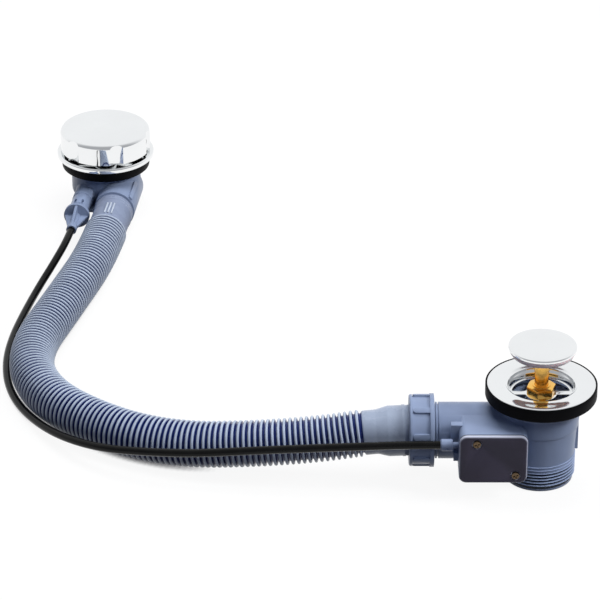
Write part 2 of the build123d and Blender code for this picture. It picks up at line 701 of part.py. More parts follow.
# Tapered gasket, faceplate with water windows round a spindle bearing, and its two screws.
overflow_gasket = turned([
    (overflow_gasket_bore_d / 2, body_top_z),
    (overflow_gasket_low_d / 2, body_top_z),
    (overflow_gasket_d / 2, faceplate_under_z),
    (overflow_gasket_bore_d / 2, faceplate_under_z),
])
save(overflow_at * overflow_gasket, "overflow_gasket")
faceplate = rod(faceplate_d, faceplate_under_z, overflow_face_z)
faceplate = fillet(faceplate.faces().sort_by(Axis.Z)[-1].edges(), 1.4)
ports = Circle(22.0) - Circle(10.5) - Rectangle(100, 9.0) - Rectangle(11.0, 100)
faceplate -= extrude(Pos(0, 0, faceplate_under_z - 1) * ports, faceplate_t + 2)
faceplate -= rod(spindle_d + 2 * run_gap, faceplate_under_z - 1, overflow_face_z + 1)
plate_screws = []
for side in (-1, 1):
    at = Pos(0, side * plate_screw_r, 0)
    faceplate -= at * rod(4.4, faceplate_under_z - 1, overflow_face_z + 1)
    faceplate -= at * rod(8.2, overflow_face_z - 1.9, overflow_face_z + 1)
    screw = rod(7.8, overflow_face_z - 1.9, overflow_face_z)
    screw += rod(4.0, body_top_z - 11.0, overflow_face_z - 1.9)
    screw -= extrude(Pos(0, 0, overflow_face_z) * cross, -1.2)
    plate_screws.append(overflow_at * at * screw)
save(overflow_at * faceplate, "overflow_faceplate")
save(Compound(children=plate_screws), "faceplate_screws")

# Knob: a deep chrome cup on a hub that the spindle's flat end keys into, with a side grub screw.
knob_low_z = overflow_face_z + knob_gap
knob_high_z = knob_low_z + knob_side_h
knob_top_z = knob_high_z + knob_dome
r_knob = knob_d / 2
shell_top = knob_high_z - knob_wall
knob = turned([
    (0, knob_low_z),
    (r_knob, knob_low_z),
    (r_knob, knob_high_z),
    (r_knob * 0.6, knob_high_z + knob_dome * 0.7),
    (0, knob_top_z),
])
knob = fillet(round_edges(knob, r_knob).sort_by(Axis.Z)[-1], 3.2)
knob -= rod(knob_d - 2 * knob_wall, knob_low_z - 1, shell_top)
hub_low_z = overflow_face_z + 1.6
knob += rod(spindle_d + 7.0, hub_low_z, shell_top + 0.5)
key = Circle(spindle_d / 2) & Rectangle(spindle_d + 2, spindle_d - 2.0)
key_hole_knob = offset(key, seat_gap)
spindle_top_z = shell_top - 0.6
knob -= extrude(Pos(0, 0, hub_low_z - 1) * key_hole_knob, spindle_top_z + seat_gap - hub_low_z + 1)
grub_turn = Rot(0, 0, -17.0 - overflow_turn)
grub_line = Plane(origin=(0, 0, (knob_low_z + knob_high_z) / 2), x_dir=(0, 0, 1), z_dir=(1, 0, 0))
grub_r0 = spindle_d / 2 + 0.15
knob -= grub_turn * (grub_line * rod(5.0 + 2 * seat_gap, grub_r0 - 0.05, r_knob + 1))
save(overflow_at * knob, "overflow_knob")
knob_grub = rod(5.0, grub_r0, grub_r0 + 4.5)
knob_grub -= extrude(Pos(0, 0, grub_r0 + 4.5) * RegularPolygon(1.2, 6), -2.0)
save(overflow_at * (grub_turn * (grub_line * knob_grub)), "knob_grub_screw")

# Spindle with its pinion: involute flanks cut short to run clear of the rack's roots.
backlash = 0.12
addendum = 0.75 * gear_module
dedendum = 1.05 * gear_module
base_r = gear_r * math.cos(math.radians(20))


def tooth_half_angle(r):
    """Half the angle that a pinion tooth fills at a radius."""
    a = math.acos(min(1.0, base_r / r))
    at_pitch = math.pi / 2 / gear_teeth - backlash / 2 / gear_r
    pitch_a = math.radians(20)
    return at_pitch + (math.tan(pitch_a) - pitch_a) - (math.tan(a) - a)


outline = []
for k in range(gear_teeth):
    mid = 2 * math.pi * (k + 0.5) / gear_teeth
    flank = [(r, tooth_half_angle(r)) for r in (base_r, gear_r, gear_r + addendum)]
    flank.insert(0, (gear_r - dedendum, tooth_half_angle(base_r)))
    for r, h in flank:
        outline.append((r * math.cos(mid - h), r * math.sin(mid - h)))
    for r, h in reversed(flank):
        outline.append((r * math.cos(mid + h), r * math.sin(mid + h)))
pinion = extrude(Pos(0, 0, gear_z - gear_w / 2) * make_face(Polyline(*outline, close=True)), gear_w)
spindle = pinion + rod(spindle_d - 2.0, spindle_foot_z + seat_gap, gear_z)
spindle += rod(spindle_d, gear_z + gear_w / 2 - 0.5, overflow_face_z + 1.0)
spindle += extrude(Pos(0, 0, overflow_face_z + 0.5) * key, spindle_top_z - overflow_face_z - 0.5)
clip_z = faceplate_under_z - 0.7
spindle -= rod(spindle_d + 2, clip_z - 0.5, clip_z + 0.5) - rod(spindle_d - 2.0, clip_z - 1, clip_z + 1)
save(overflow_at * spindle, "knob_spindle")
ring_clip = rod(spindle_d + 4.0, clip_z - 0.45, clip_z + 0.45) - rod(spindle_d - 1.9, clip_z - 1, clip_z + 1)
ring_clip -= Pos(0, 6, clip_z) * Box(spindle_d - 2.6, 12, 3)
save(overflow_at * ring_clip, "spindle_clip")

# Rack that the pinion drives, drawn back at rest, and the wire that it pushes and pulls.
rack_y = travel / 2
pitch = math.pi * gear_module
rack_teeth = [(rack_back_x, -rack_len / 2), (-gear_r - dedendum, -rack_len / 2)]
count = int(rack_len / pitch)
for k in range(count):
    y = (k - (count - 1) / 2) * pitch
    half_root = pitch / 4 - backlash / 2 + dedendum * math.tan(math.radians(20))
    half_tip = pitch / 4 - backlash / 2 - addendum * math.tan(math.radians(20))
    rack_teeth += [
        (-gear_r - dedendum, y - half_root),
        (-gear_r + addendum, y - half_tip),
        (-gear_r + addendum, y + half_tip),
        (-gear_r - dedendum, y + half_root),
    ]
rack_teeth += [(-gear_r - dedendum, rack_len / 2), (rack_back_x, rack_len / 2)]
phase = rack_y / pitch
rack_shift = (round(phase - 0.5 * ((count + 1) % 2)) + 0.5 * ((count + 1) % 2)) * pitch
rack_face = make_face(Polyline(*rack_teeth, close=True))
rack = extrude(Pos(0, rack_shift, rack_low_z) * rack_face, rack_high_z - rack_low_z)
rack -= cable_line * rod(wire_d + 2 * seat_gap, -rack_shift, 60)
save(overflow_at * rack, "cable_rack")
rack_front = -rack_shift + rack_len / 2
wire_out = rack_front + 38.0
save(overflow_at * (cable_line * rod(wire_d, -rack_shift + 0.2, wire_out)), "inner_wire_overflow")

# Cable gland: plug in the boss with a sprung tongue, stop disc, four tapering fins and a collar.
disc_s = boss_end + gland_neck_len
fin_s = disc_s + gland_disc_t
collar_s = fin_s + gland_fin_len
gland_end = collar_s + gland_collar_len
r_collar = gland_collar_d / 2
gland = rod(gland_plug_d, r_bowl - 1.5, disc_s) + rod(gland_neck_d, boss_end, disc_s)
gland += rod(gland_disc_d, disc_s, fin_s) + rod(r_collar * 1.5, fin_s, collar_s)
gland += rod(gland_collar_d, collar_s, gland_end)
fin = make_face(Polyline(
    (0, fin_s - 0.5),
    (gland_disc_d / 2 - 0.6, fin_s - 0.5),
    (r_collar, collar_s + 1.0),
    (0, collar_s + 1.0),
    close=True,
))
fin = extrude(Plane.XZ * fin, 0.9, both=True)
for i in range(4):
    gland += Rot(0, 0, 90 * i) * fin
slot_w = 2 * gland_tongue_w
slot_s = disc_s - 0.55 * gland_neck_len
slot = slab(-slot_w / 2, slot_w / 2, gland_plug_d / 2, gland_disc_d / 2, slot_s, disc_s - 2.5)
tongue = slab(-gland_tongue_w / 2, gland_tongue_w / 2, 0, gland_disc_d / 2, boss_end, disc_s - 5.0)
gland -= slot - tongue
sheath_s = gland_end - sheath_grip
gland -= rod(wire_d + 2 * seat_gap, 0, gland_end + 1)
gland -= rod(cable_d, sheath_s, gland_end + 1)
save(overflow_at * (cable_line * gland), "cable_gland")

# Bowden cable: the free sheath from the gland, along the table and up against the hose to the box.
cable_route = [
    on_overflow(-cable_offset, -sheath_s, gear_z),
    on_overflow(-cable_offset, -sheath_s - 27.0, gear_z),
    (-337.5, 272.5, 13.5),
    (-349.0, 248.0, 5.6),
    (-358.5, 212.0, 3.2),
    (-364.0, 178.5, 3.0),
    (-365.5, 144.0, 3.0),
    (-360.0, 108.0, 3.0),
    (-345.0, 74.5, 3.5),
    (-322.0, 36.5, 9.0),
    (-292.0, 8.0, 15.5),
    (-257.0, -9.5, 22.0),
    (-224.0, -17.5, 26.0),
    (-191.0, -20.8, 30.0),
    (-158.0, -23.5, 33.2),
    (-119.0, -26.5, 36.6),
    (-88.5, cable_y, cable_z),
    (-sheath_stop, cable_y, cable_z),
]
cable_radii = bend_radii(cable_route)
cable_line_path = FilletPolyline(*cable_route, radius=cable_radii)
start = Plane(origin=cable_line_path @ 0, z_dir=cable_line_path % 0)
cable = sweep(start * Circle(cable_d / 2), path=cable_line_path)
print("cable radii", [round(r) for r in cable_radii], "length", round(cable_line_path.length, 1))
cable_section = math.pi * cable_d**2 / 4
print("cable volume", round(cable.volume), "section x length", round(cable_section * cable_line_path.length))
save(cable, "bowden_cable")
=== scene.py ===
import json
import math
import bpy
from mathutils import Matrix, Vector


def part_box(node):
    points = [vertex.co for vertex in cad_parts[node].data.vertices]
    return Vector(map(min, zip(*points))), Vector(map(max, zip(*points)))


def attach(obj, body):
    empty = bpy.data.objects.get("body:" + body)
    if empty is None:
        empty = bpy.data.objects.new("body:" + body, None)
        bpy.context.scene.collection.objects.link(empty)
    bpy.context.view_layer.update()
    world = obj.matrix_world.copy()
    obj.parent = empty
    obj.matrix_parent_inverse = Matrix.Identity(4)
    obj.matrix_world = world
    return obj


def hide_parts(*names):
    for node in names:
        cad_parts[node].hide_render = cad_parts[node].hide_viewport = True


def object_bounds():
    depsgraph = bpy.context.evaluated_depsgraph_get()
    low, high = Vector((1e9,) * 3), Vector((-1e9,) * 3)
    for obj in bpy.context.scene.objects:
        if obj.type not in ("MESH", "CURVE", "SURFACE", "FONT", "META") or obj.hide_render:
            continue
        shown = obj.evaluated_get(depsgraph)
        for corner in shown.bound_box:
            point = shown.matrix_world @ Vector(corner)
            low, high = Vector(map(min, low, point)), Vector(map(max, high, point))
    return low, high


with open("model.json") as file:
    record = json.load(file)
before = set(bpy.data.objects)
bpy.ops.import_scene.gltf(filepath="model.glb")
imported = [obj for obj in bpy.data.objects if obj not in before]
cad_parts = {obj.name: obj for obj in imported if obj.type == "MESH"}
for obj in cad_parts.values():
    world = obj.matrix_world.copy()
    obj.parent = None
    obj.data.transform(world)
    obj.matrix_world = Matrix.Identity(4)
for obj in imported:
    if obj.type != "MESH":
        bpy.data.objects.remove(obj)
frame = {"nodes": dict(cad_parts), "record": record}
cad_low, cad_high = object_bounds()

# Waste body: one injection moulding in blue-grey polypropylene, with its branch, lever-box housing and
# outlet tail. It carries everything at this end. Its tail is turned down here to the thread's root.
mm = 0.001
scene = bpy.context.scene
record = frame["record"]
body_of = {node: body for body, nodes in record["behaviour"]["bodies"].items() for node in nodes}
body_blue = (0.205, 0.255, 0.375)
sharp_edge = math.radians(32)


def pick_only(piece):
    """Selects one object and makes it the active one."""
    bpy.ops.object.select_all(action="DESELECT")
    piece.select_set(True)
    bpy.context.view_layer.objects.active = piece


def new_material(name):
    """Material with its shader, and the piece's own coordinates."""
    material = bpy.data.materials.new(name)
    material.use_nodes = True
    tree = material.node_tree
    place = tree.nodes.new("ShaderNodeTexCoord")
    return material, tree, tree.nodes["Principled BSDF"], place.outputs["Object"]


def noise(tree, place, scale, detail=3.0):
    """Noise on the piece's own coordinates, scale in features per metre."""
    node = tree.nodes.new("ShaderNodeTexNoise")
    node.inputs["Scale"].default_value = scale
    node.inputs["Detail"].default_value = detail
    tree.links.new(place, node.inputs["Vector"])
    return node.outputs["Fac"]


def ramp(tree, value, stops):
    """Colour ramp from (position, colour) stops."""
    node = tree.nodes.new("ShaderNodeValToRGB")
    elements = node.color_ramp.elements
    while len(elements) < len(stops):
        elements.new(0.5)
    for element, (position, colour) in zip(elements, stops):
        element.position = position
        element.color = (*colour, 1.0)
    tree.links.new(value, node.inputs["Fac"])
    return node.outputs["Color"]


def spread(tree, value, low, high):
    """Maps a 0 to 1 value onto a range."""
    node = tree.nodes.new("ShaderNodeMapRange")
    node.inputs["To Min"].default_value = low
    node.inputs["To Max"].default_value = high
    tree.links.new(value, node.inputs["Value"])
    return node.outputs["Result"]


def bump(tree, value, strength, height):
    """Surface relief of a real height in metres."""
    node = tree.nodes.new("ShaderNodeBump")
    node.inputs["Strength"].default_value = strength
    node.inputs["Distance"].default_value = height
    tree.links.new(value, node.inputs["Height"])
    return node.outputs["Normal"]


def shade(colour, factor):
    """A colour made darker or lighter by a factor."""
    return tuple(c * factor for c in colour)


def moulded_plastic(name, colour, rough):
    """Satin moulded plastic: flow marks in the colour, uneven gloss and a fine eroded skin."""
    material, tree, shader, place = new_material(name)
    flow = noise(tree, place, scale=38.0, detail=4.0)
    stops = [(0.3, shade(colour, 0.9)), (0.7, shade(colour, 1.08))]
    tree.links.new(ramp(tree, flow, stops), shader.inputs["Base Color"])
    gloss = noise(tree, place, scale=120.0)
    tree.links.new(spread(tree, gloss, rough - 0.06, rough + 0.06), shader.inputs["Roughness"])
    shader.inputs["Specular IOR Level"].default_value = 0.14
    skin = noise(tree, place, scale=1500.0, detail=2.0)
    tree.links.new(bump(tree, skin, strength=0.25, height=0.06 * mm), shader.inputs["Normal"])
    return material


def dressed(node, name, material, edge=0.0):
    """Merged copy of a CAD node that stands for it: clean faces, eased edges, smooth shading."""
    weld = 0.002 * mm
    flat_within = math.radians(0.4)
    mesh = frame["nodes"][node].data.copy()
    piece = bpy.data.objects.new(name, mesh)
    scene.collection.objects.link(piece)
    pick_only(piece)
    bpy.ops.object.mode_set(mode="EDIT")
    bpy.ops.mesh.select_all(action="SELECT")
    bpy.ops.mesh.customdata_custom_splitnormals_clear()
    bpy.ops.mesh.remove_doubles(threshold=weld)
    bpy.ops.mesh.dissolve_limited(angle_limit=flat_within)
    bpy.ops.object.mode_set(mode="OBJECT")
    if edge:
        bevel = piece.modifiers.new("eased edges", "BEVEL")
        bevel.width = edge
        bevel.segments = 2
        bevel.limit_method = "ANGLE"
        bevel.angle_limit = sharp_edge
        bevel.miter_outer = "MITER_ARC"
        bpy.ops.object.modifier_apply(modifier=bevel.name)
    bpy.ops.object.shade_smooth_by_angle(angle=sharp_edge)
    mesh.materials.clear()
    mesh.materials.append(material)
    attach(piece, body_of[node])
    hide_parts(node)
    return piece


body_plastic = moulded_plastic("blue_grey_plastic", body_blue, rough=0.3)
waste_moulding = dressed("waste_body", "waste_body_moulding", body_plastic, edge=0.45 * mm)
thread_crest = 23.9 * mm
thread_root = 22.4 * mm
thread_full = 14.2 * mm
tail_edge = 0.7 * mm
facet_slack = 0.1 * mm
for vertex in waste_moulding.data.vertices:
    radius = math.hypot(vertex.co.x, vertex.co.y)
    on_tail = thread_crest - tail_edge < radius < thread_crest + facet_slack
    if on_tail and vertex.co.z < thread_full:
        vertex.co.xy *= thread_root / radius

# Outlet thread: a right-hand pipe thread, 11 turns to the inch, moulded on the outlet's tail.
# One ridge is drawn as a closed outline and screwed up the axis, running out under the barrel.
thread_pitch = 2.309 * mm
thread_turns = 7
thread_start = 1.6 * mm
ridge_sink = 0.6 * mm
steps_per_turn = 72
flank_angle = math.radians(30)
bpy.ops.object.select_all(action="DESELECT")
bpy.ops.mesh.primitive_plane_add(size=1.0, location=(0, 0, 0))
thread = bpy.context.object
thread.name = "outlet_thread"
ridge_foot = thread_root - ridge_sink
ridge_radii = (ridge_foot, thread_crest, thread_crest, ridge_foot)
ridge_shares_of_pitch = (0.05, 0.38, 0.54, 0.87)
corners_in_turn = (0, 1, 3, 2)
for corner, radius, share in zip(corners_in_turn, ridge_radii, ridge_shares_of_pitch):
    thread.data.vertices[corner].co = (radius, 0, thread_start + share * thread_pitch)
screw = thread.modifiers.new("turns", "SCREW")
screw.axis = "Z"
screw.screw_offset = thread_pitch
screw.iterations = thread_turns
screw.steps = steps_per_turn
screw.render_steps = steps_per_turn
screw.use_normal_calculate = True
bpy.ops.object.modifier_apply(modifier=screw.name)
bpy.ops.object.mode_set(mode="EDIT")
bpy.ops.mesh.select_all(action="SELECT")
bpy.ops.mesh.normals_make_consistent(inside=False)
bpy.ops.object.mode_set(mode="OBJECT")
bpy.ops.object.shade_smooth_by_angle(angle=flank_angle)


def threaded_plastic(name, colour, groove, rough):
    """The body's plastic with painted shade in the thread's grooves and painted light on its crests, by
    distance from the axis.
    """
    material, tree, shader, place = new_material(name)
    flat = tree.nodes.new("ShaderNodeVectorMath")
    flat.operation = "MULTIPLY"
    flat.inputs[1].default_value = (1.0, 1.0, 0.0)
    tree.links.new(place, flat.inputs[0])
    reach = tree.nodes.new("ShaderNodeVectorMath")
    reach.operation = "LENGTH"
    tree.links.new(flat.outputs["Vector"], reach.inputs[0])
    height = tree.nodes.new("ShaderNodeMapRange")
    height.inputs["From Min"].default_value = thread_root
    height.inputs["From Max"].default_value = thread_crest
    tree.links.new(reach.outputs["Value"], height.inputs["Value"])
    stops = [(0.25, groove), (0.9, colour)]
    tree.links.new(ramp(tree, height.outputs["Result"], stops), shader.inputs["Base Color"])
    gloss = noise(tree, place, scale=120.0)
    tree.links.new(spread(tree, gloss, rough - 0.06, rough + 0.06), shader.inputs["Roughness"])
    shader.inputs["Specular IOR Level"].default_value = 0.14
    return material


# Painted light and shade: the crests are coloured 1.7 times the body's blue and the grooves a tenth of
# it.
painted_crest_light = shade(body_blue, 1.7)
painted_groove_shade = shade(body_blue, 0.1)
thread_plastic = threaded_plastic("blue_grey_thread", painted_crest_light, painted_groove_shade, rough=0.26)
thread.data.materials.append(thread_plastic)
waste_moulding.data.materials.append(thread_plastic)
# The root band between the ridges takes the same painted groove shade.
root_slack = 0.4 * mm
for face in waste_moulding.data.polygons:
    centre = face.center
    upright = abs(face.normal.z) < 0.5
    outward = face.normal.x * centre.x + face.normal.y * centre.y > 0
    beside_ridge = thread_start < centre.z < thread_full
    on_root = abs(math.hypot(centre.x, centre.y) - thread_root) < root_slack
    if upright and outward and beside_ridge and on_root:
        face.material_index = 1
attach(thread, body_of["waste_body"])

# Waste gasket and the small seals: moulded black rubber, matt, with a faint bloom.
# The thick ring is squeezed under the chrome flange, the others sit in their grooves.
rubber_tone = (0.003, 0.003, 0.0035)


def rubber(name, colour, rough):
    """Matt rubber with a dusty bloom and a fine grain."""
    material, tree, shader, place = new_material(name)
    bloom = noise(tree, place, scale=55.0, detail=4.0)
    stops = [(0.35, colour), (0.75, shade(colour, 1.9))]
    tree.links.new(ramp(tree, bloom, stops), shader.inputs["Base Color"])
    tree.links.new(spread(tree, bloom, rough - 0.08, rough + 0.1), shader.inputs["Roughness"])
    shader.inputs["Specular IOR Level"].default_value = 0.03
    grain = noise(tree, place, scale=2200.0, detail=2.0)
    tree.links.new(bump(tree, grain, strength=0.35, height=0.08 * mm), shader.inputs["Normal"])
    return material


black_rubber = rubber("black_rubber", rubber_tone, rough=0.45)
dressed("waste_gasket", "waste_gasket_ring", black_rubber, edge=0.3 * mm)
dressed("box_cover_seal", "box_cover_seal_ring", black_rubber)
dressed("shaft_o_ring", "shaft_seal_ring", black_rubber)
dressed("union_washer", "union_washer_ring", black_rubber)

# Gasket lip: the gasket's thin outer edge, which is turned up round the rim of the chrome flange.
# It is the same black rubber, drawn as a narrow closed outline and spun about the waste's axis.
lip_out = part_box("waste_gasket")[1].x
lip_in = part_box("waste_flange")[1].x + 0.05 * mm
lip_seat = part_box("waste_gasket")[1].z
lip_top = lip_seat + 2.0 * mm
lip_root = lip_seat - 1.6 * mm
lip_round = 0.3 * mm
lip_outline = [
    (lip_in, lip_seat),
    (lip_in, lip_top - lip_round / 2),
    (lip_in + lip_round / 2, lip_top),
    (lip_out - lip_round, lip_top),
    (lip_out, lip_top - lip_round),
    (lip_out, lip_root),
    (lip_in - lip_round, lip_root),
]
rounded_angle = math.radians(50)


def spun(name, outline, axis, steps):
    """Closed outline, drawn with a circle's vertices and spun once round an axis through the origin."""
    bpy.ops.object.select_all(action="DESELECT")
    bpy.ops.mesh.primitive_circle_add(vertices=len(outline), calc_uvs=False, location=(0, 0, 0))
    turned = bpy.context.object
    turned.name = name
    turned.data.name = name
    for vertex, point in zip(turned.data.vertices, outline):
        vertex.co = point
    lathe = turned.modifiers.new("one turn", "SCREW")
    lathe.axis = axis
    lathe.angle = 2 * math.pi
    lathe.steps = steps
    lathe.render_steps = steps
    bpy.ops.object.modifier_apply(modifier=lathe.name)
    bpy.ops.object.mode_set(mode="EDIT")
    bpy.ops.mesh.select_all(action="SELECT")
    bpy.ops.mesh.normals_make_consistent(inside=False)
    bpy.ops.object.mode_set(mode="OBJECT")
    return turned


lip_points = [(radius, 0, height) for radius, height in lip_outline]
lip = spun("waste_gasket_lip", lip_points, axis="Z", steps=144)
bpy.ops.object.shade_smooth_by_angle(angle=rounded_angle)
lip.data.materials.append(black_rubber)
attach(lip, body_of["waste_gasket"])

# Chrome flange and plug cap: pressed and turned brass, polished and chromium plated.
# The plating is a mirror with a hint of waviness and soft polishing marks.
chrome_tone = (0.885, 0.895, 0.90)


def chrome_plate(name, colour, rough):
    """Mirror plating: slow waviness of the polished metal and faint wiping marks."""
    material, tree, shader, place = new_material(name)
    shader.inputs["Metallic"].default_value = 1.0
    tint = noise(tree, place, scale=25.0)
    stops = [(0.3, shade(colour, 0.96)), (0.7, colour)]
    tree.links.new(ramp(tree, tint, stops), shader.inputs["Base Color"])
    marks = noise(tree, place, scale=300.0, detail=5.0)
    tree.links.new(spread(tree, marks, rough * 0.5, rough * 1.6), shader.inputs["Roughness"])
    wave = noise(tree, place, scale=45.0, detail=1.0)
    tree.links.new(bump(tree, wave, strength=0.3, height=0.12 * mm), shader.inputs["Normal"])
    return material


chrome = chrome_plate("chrome_plate", chrome_tone, rough=0.05)
dressed("waste_flange", "waste_flange_chrome", chrome, edge=0.15 * mm)
dressed("plug_cap", "plug_cap_chrome", chrome, edge=0.12 * mm)

# Clamp bolt, plug stem, spindle and wire screw: turned brass bar, left bright.
# Lathe lines run round the axis, and the bolt's hexagon is cut from the same bar.
brass_tone = (1.0, 0.58, 0.14)


def turned_brass(name, colour, rough):
    """Bright brass with lathe lines across its axis and a warm uneven tone."""
    material, tree, shader, place = new_material(name)
    shader.inputs["Metallic"].default_value = 1.0
    tone = noise(tree, place, scale=90.0, detail=4.0)
    stops = [(0.3, shade(colour, 0.82)), (0.7, colour)]
    tree.links.new(ramp(tree, tone, stops), shader.inputs["Base Color"])
    tree.links.new(spread(tree, tone, rough - 0.04, rough + 0.06), shader.inputs["Roughness"])
    lines = tree.nodes.new("ShaderNodeTexWave")
    lines.bands_direction = "Z"
    lines.inputs["Scale"].default_value = 900.0
    lines.inputs["Distortion"].default_value = 1.5
    tree.links.new(place, lines.inputs["Vector"])
    relief = bump(tree, lines.outputs["Fac"], strength=0.15, height=0.04 * mm)
    tree.links.new(relief, shader.inputs["Normal"])
    return material


brass = turned_brass("bright_brass", brass_tone, rough=0.12)
dressed("clamp_bolt", "clamp_bolt_brass", brass, edge=0.2 * mm)
dressed("plug_stem", "plug_stem_brass", brass, edge=0.15 * mm)
dressed("knob_spindle", "knob_spindle_brass", brass)
dressed("wire_clamp_screw", "wire_clamp_screw_brass", brass)

# Plug seal: a soft pale ring snapped under the cap, slightly see-through at its thin edge.
# It is moulded in silicone with a pink cast.
silicone_pink = (0.80, 0.66, 0.68)


def pale_silicone(name, colour):
    """Milky soft rubber that lets a little light through."""
    material, tree, shader, place = new_material(name)
    cloud = noise(tree, place, scale=70.0)
    stops = [(0.3, shade(colour, 0.94)), (0.7, colour)]
    tree.links.new(ramp(tree, cloud, stops), shader.inputs["Base Color"])
    shader.inputs["Subsurface Weight"].default_value = 0.35
    shader.inputs["Subsurface Radius"].default_value = (4 * mm, 2 * mm, 2 * mm)
    shader.inputs["Roughness"].default_value = 0.38
    fine = noise(tree, place, scale=1200.0)
    tree.links.new(bump(tree, fine, strength=0.2, height=0.05 * mm), shader.inputs["Normal"])
    return material


seal_silicone = pale_silicone("pale_silicone", silicone_pink)
dressed("plug_seal", "plug_seal_ring", seal_silicone, edge=0.25 * mm)

# Lever box: a dark lid on a rubber seal, held by two cross-recess screws in counterbores.
# The lid is a matt purple-grey moulding, with a painted highlight along its rim and in its counterbores.
lid_grey = (0.042, 0.037, 0.058)
painted_rim_highlight = (0.42, 0.44, 0.53)
rim_depth = 0.6 * mm
screw_tone = (0.13, 0.09, 0.055)


def rim_highlit_plastic(name, colour, rim_light, rough):
    """Matt moulding with a painted highlight along its rounded rim."""
    material, tree, shader, place = new_material(name)
    rim = tree.nodes.new("ShaderNodeAttribute")
    rim.attribute_name = "rim"
    flow = noise(tree, place, scale=45.0, detail=4.0)
    face = ramp(tree, flow, [(0.3, shade(colour, 0.82)), (0.7, shade(colour, 1.2))])
    tone = tree.nodes.new("ShaderNodeMix")
    tone.data_type = "RGBA"
    tone.inputs["B"].default_value = (*rim_light, 1.0)
    tree.links.new(rim.outputs["Fac"], tone.inputs["Factor"])
    tree.links.new(face, tone.inputs["A"])
    tree.links.new(tone.outputs["Result"], shader.inputs["Base Color"])
    tree.links.new(spread(tree, flow, rough - 0.06, rough + 0.06), shader.inputs["Roughness"])
    shader.inputs["Specular IOR Level"].default_value = 0.2
    skin = noise(tree, place, scale=1500.0, detail=2.0)
    tree.links.new(bump(tree, skin, strength=0.25, height=0.06 * mm), shader.inputs["Normal"])
    return material


lid_plastic = rim_highlit_plastic("dark_grey_plastic", lid_grey, painted_rim_highlight, rough=0.42)
lid = dressed("box_cover", "box_cover_lid", lid_plastic, edge=0.2 * mm)
lid_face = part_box("box_cover")[0].y
# Painted highlight: the rim attribute goes from 0 on the lid's front face to 1 at rim_depth behind it.
rim_highlight_mask = lid.data.attributes.new("rim", "FLOAT", "POINT")
for value, vertex in zip(rim_highlight_mask.data, lid.data.vertices):
    value.value = min(1.0, max(0.0, (vertex.co.y - lid_face) / rim_depth))
dull_bronze = turned_brass("dull_bronze", screw_tone, rough=0.3)
dressed("cover_screws", "cover_screws_brass", dull_bronze, edge=0.12 * mm)

# Inside the lever box, the branch and the overflow: acetal levers, slider and rack, and a steel shaft,
# clips and wire ends. They are plain functional parts, moulded in white acetal or drawn to size.
acetal_white = (0.72, 0.72, 0.70)
steel_grey = (0.56, 0.57, 0.58)


def drawn_steel(name, colour, rough):
    """Plain drawn steel, faintly streaked."""
    material, tree, shader, place = new_material(name)
    shader.inputs["Metallic"].default_value = 1.0
    streak = noise(tree, place, scale=400.0, detail=5.0)
    stops = [(0.3, shade(colour, 0.85)), (0.7, colour)]
    tree.links.new(ramp(tree, streak, stops), shader.inputs["Base Color"])
    tree.links.new(spread(tree, streak, rough - 0.06, rough + 0.08), shader.inputs["Roughness"])
    return material


white_acetal = moulded_plastic("white_acetal", acetal_white, rough=0.34)
steel = drawn_steel("drawn_steel", steel_grey, rough=0.3)
for node in ("drive_fork", "lift_finger", "cable_slider", "cable_rack"):
    dressed(node, node + "_acetal", white_acetal)
for node in ("lever_shaft", "shaft_clip", "inner_wire_waste", "inner_wire_overflow", "spindle_clip"):
    dressed(node, node + "_steel", steel)

# Union nut: a ribbed hand nut moulded in the body's plastic, with flat panels between its ribs.
# It is screwed on the branch over the hose's collar, and squeezes the washer between them.
dressed("union_nut", "union_nut_ribbed", body_plastic, edge=0.5 * mm)

# Overflow hose: one blow-moulded corrugated length with a plain cuff at each end, lying on the table in
# one wide bend. Its outline is spun about a straight axis and then bent along the route. Places along
# the hose, counted from the union, and radii are in millimetres.
hose_route = [
    (-82.0, 0, 33.5),
    (-108.0, 0, 33.0),
    (-142.0, -1.0, 27.5),
    (-186.0, 0, 23.0),
    (-236.0, 8.5, 17.0),
    (-282.0, 27.5, 16.0),
    (-331.5, 71.0, 16.0),
    (-348.8, 130.0, 16.0),
    (-325.0, 212.0, 16.0),
    (-305.07, 284.77, 16.0),
    (-297.43, 349.82, 16.0),
]


def route_curve(name, points):
    """Smooth line with a route's points, in millimetres, as its control points."""
    curve = bpy.data.curves.new(name, "CURVE")
    curve.dimensions = "3D"
    spline = curve.splines.new("NURBS")
    spline.points.add(len(points) - 1)
    for point, (x, y, z) in zip(spline.points, points):
        point.co = (x * mm, y * mm, z * mm, 1.0)
    spline.order_u = 3
    spline.use_endpoint_u = True
    spline.resolution_u = 32
    line = bpy.data.objects.new(name, curve)
    scene.collection.objects.link(line)
    return line


hose_line = route_curve("hose_line", hose_route)
bpy.context.view_layer.update()
hose_path = [v.co.copy() for v in bpy.data.meshes.new_from_object(hose_line).vertices]
hose_length = sum((b - a).length for a, b in zip(hose_path, hose_path[1:])) / mm
crest_r = 15.6
valley_r = 13.1
bore_r = 11.6
neck_r = 14.7
cuff_len = 35.0
bellows_from = cuff_len
bellows_to = hose_length - cuff_len
fold_pitch = 3.72
folds = round((bellows_to - bellows_from) / fold_pitch)
fold = (bellows_to - bellows_from) / folds

